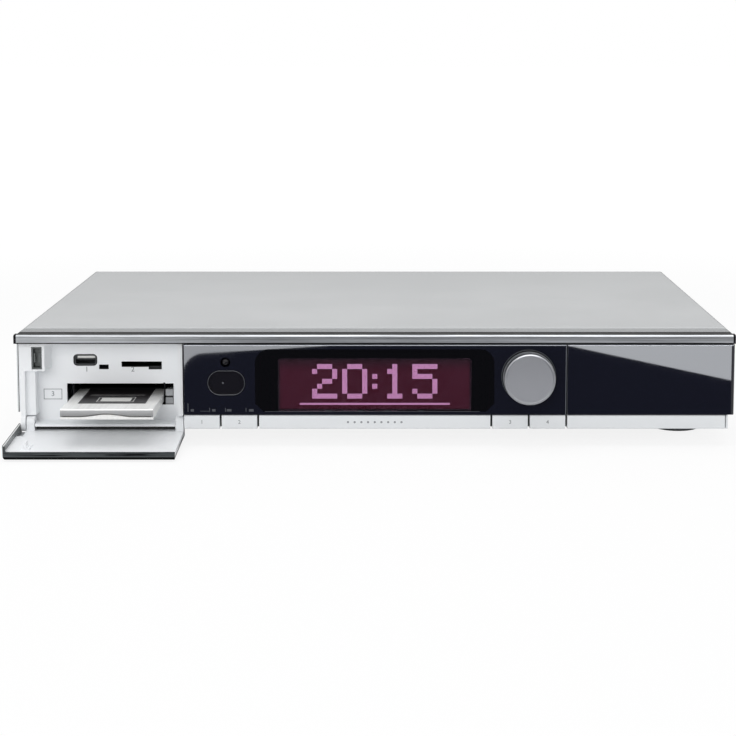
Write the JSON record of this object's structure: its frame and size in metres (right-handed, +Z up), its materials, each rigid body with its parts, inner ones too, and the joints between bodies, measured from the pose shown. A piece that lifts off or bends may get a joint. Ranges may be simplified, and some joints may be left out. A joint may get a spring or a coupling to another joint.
{
  "type": "satellite tv receiver",
  "caption": "Low wide satellite receiver with a drop-down flap over its card slots, a display, four keys and a push dial.",
  "frame": {"origin": "middle of the footprint, on the surface the feet stand on, with the flap open", "axes": "+X to the right seen from the front, +Y towards the back, +Z up"},
  "size_m": [0.43, 0.3383, 0.0679],
  "materials": {
    "tub_steel": "satin light grey paint",
    "cover_silver": "fine satin silver paint",
    "rear_steel": "matt dark paint",
    "frame_plastic": "matt",
    "tray_plastic": "smooth white",
    "trim_aluminium": "brushed along the bar",
    "panel_acrylic": "polished",
    "strip_silver": "satin silver",
    "eye_plastic": "polished",
    "ring_plastic": "matt",
    "display_glass": "polished",
    "board_green": "solder mask",
    "board_tan": "bare laminate",
    "part_black": "moulded",
    "rotor_brass": "plain",
    "steel_plain": "plain",
    "dial_satin": "fine turned satin",
    "latch_grey": "matt",
    "cage_steel": "plain sheet",
    "module_metal": "plain",
    "label_dark": "matt",
    "eject_grey": "matt",
    "socket_metal": "plated",
    "card_metal": "plain",
    "sink_aluminium": "plain",
    "winding_yellow": "taped",
    "sleeve_blue": "sleeved",
    "disk_cast": "cast",
    "foot_metal": "turned"
  },
  "bodies": {
    "chassis": {"base_tub": "tub_steel", "top_cover": "cover_silver", "rear_panel": "rear_steel", "front_frame": "frame_plastic", "compartment_tray": "tray_plastic", "trim_bar": "trim_aluminium", "display_panel": "panel_acrylic", "right_panel": "panel_acrylic", "centre_strip": "strip_silver", "right_strip": "strip_silver", "infrared_eye": "eye_plastic", "sensor_bezel": "eye_plastic", "dial_ring": "ring_plastic", "display_module": "display_glass", "front_board": "board_green", "main_board": "board_green", "port_board": "board_green", "power_board": "board_tan", "key_switches": "part_black", "encoder_body": "part_black", "module_connector": "part_black", "service_socket": "part_black", "cinch_block": "part_black", "optical_socket": "part_black", "scart_socket": "part_black", "mains_inlet": "part_black", "mains_switch": "part_black", "hinge_pins": "steel_plain", "screws": "steel_plain", "latch_housing": "latch_grey", "module_cage": "cage_steel", "disk_bracket": "cage_steel", "tuner_can": "cage_steel", "usb_socket": "socket_metal", "hdmi_socket": "socket_metal", "network_socket": "socket_metal", "rear_usb_socket": "socket_metal", "aerial_jacks": "socket_metal", "card_socket": "card_metal", "heat_sink": "sink_aluminium", "transformer": "winding_yellow", "capacitors": "sleeve_blue", "hard_disk": "disk_cast", "feet": "foot_metal"},
    "flap": {"flap_face": "panel_acrylic", "flap_strip": "strip_silver", "flap_liner": "tray_plastic"},
    "access_card": {"access_module": "module_metal", "module_label": "label_dark"},
    "power_key": {"key_power": "strip_silver"},
    "mode_key": {"key_mode": "strip_silver"},
    "media_key": {"key_media": "strip_silver"},
    "back_key": {"key_back_step": "strip_silver"},
    "dial_rotor": {"encoder_rotor": "rotor_brass"},
    "dial": {"dial_shaft": "steel_plain", "dial_knob": "dial_satin"},
    "latch": {"latch_slider": "latch_grey"},
    "lower_ejector": {"eject_lower": "eject_grey"},
    "upper_ejector": {"eject_upper": "eject_grey"},
    "rocker": {"mains_rocker": "part_black"}
  },
  "joints": [
    {"name": "flap_hinge", "type": "hinge", "parent": "chassis", "child": "flap", "pos_m": [-0.165, -0.12086, 0.01315], "axis": [-1, 0, 0], "range_deg": [0, 93.5]},
    {"name": "module_slide", "type": "slide", "parent": "chassis", "child": "access_card", "axis": [0, 1, 0], "range_m": [0, 0.044]},
    {"name": "power_press", "type": "slide", "parent": "chassis", "child": "power_key", "axis": [0, 1, 0], "range_m": [0, 0.0007], "stiffness_N_per_m": 700, "springref_m": -0.0008},
    {"name": "mode_press", "type": "slide", "parent": "chassis", "child": "mode_key", "axis": [0, 1, 0], "range_m": [0, 0.0007], "stiffness_N_per_m": 700, "springref_m": -0.0008},
    {"name": "media_press", "type": "slide", "parent": "chassis", "child": "media_key", "axis": [0, 1, 0], "range_m": [0, 0.0007], "stiffness_N_per_m": 700, "springref_m": -0.0008},
    {"name": "back_press", "type": "slide", "parent": "chassis", "child": "back_key", "axis": [0, 1, 0], "range_m": [0, 0.0007], "stiffness_N_per_m": 700, "springref_m": -0.0008},
    {"name": "dial_turn", "type": "hinge", "parent": "chassis", "child": "dial_rotor", "pos_m": [0.0919, -0.12726, 0.0425], "axis": [0, 1, 0], "continuous": true},
    {"name": "dial_push", "type": "slide", "parent": "dial_rotor", "child": "dial", "axis": [0, 1, 0], "range_m": [0, 0.0006], "stiffness_N_per_m": 1200, "springref_m": -0.0008},
    {"name": "latch_push", "type": "slide", "parent": "chassis", "child": "latch", "axis": [0, 1, 0], "range_m": [0, 0.003], "stiffness_N_per_m": 250, "springref_m": -0.002},
    {"name": "lower_eject", "type": "slide", "parent": "chassis", "child": "lower_ejector", "axis": [0, 1, 0], "range_m": [0, 0.004], "stiffness_N_per_m": 250, "springref_m": -0.001},
    {"name": "upper_eject", "type": "slide", "parent": "chassis", "child": "upper_ejector", "axis": [0, 1, 0], "range_m": [0, 0.004], "stiffness_N_per_m": 250, "springref_m": -0.001},
    {"name": "mains_rock", "type": "hinge", "parent": "chassis", "child": "rocker", "pos_m": [0.146, 0.15724, 0.036], "axis": [-1, 0, 0], "range_deg": [0, 22]}
  ],
  "couplings": [
    {"joint": "module_slide", "follows": "flap_hinge", "m_per_rad": 0.02696}
  ]
}
